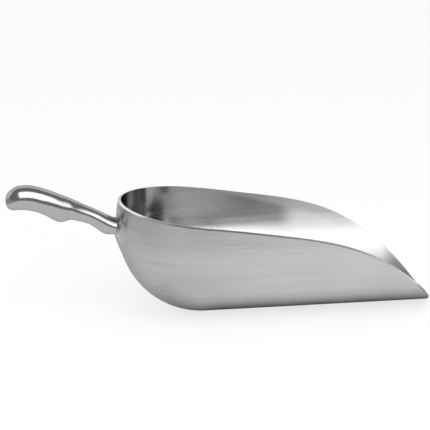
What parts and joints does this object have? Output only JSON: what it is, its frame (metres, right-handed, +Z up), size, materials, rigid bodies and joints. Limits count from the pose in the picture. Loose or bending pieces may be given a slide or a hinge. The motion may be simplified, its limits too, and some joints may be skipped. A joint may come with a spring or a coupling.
{
  "type": "feed scoop",
  "caption": "Deep cast feed scoop with a round back, a swept bevelled rim, a curved lip and a solid grip shaped for the fingers, for scooping grain or pellets by hand.",
  "frame": {"origin": "on the ground plane, under the middle of the overall box; the straight keel lies on the ground plane", "axes": "+X from the grip to the lip, +Z up, +Y to the left of a hand that holds the grip and points the lip forward"},
  "size_m": [0.4136, 0.16, 0.1302],
  "materials": {
    "bowl_satin": "satin, brushed lengthwise outside, burnished inside",
    "grip_polish": "buffed bright",
    "weld_satin": "dressed smooth, satin"
  },
  "bodies": {
    "root": {"bowl": "bowl_satin", "handle": "grip_polish", "root_weld": "weld_satin"}
  },
  "joints": []
}
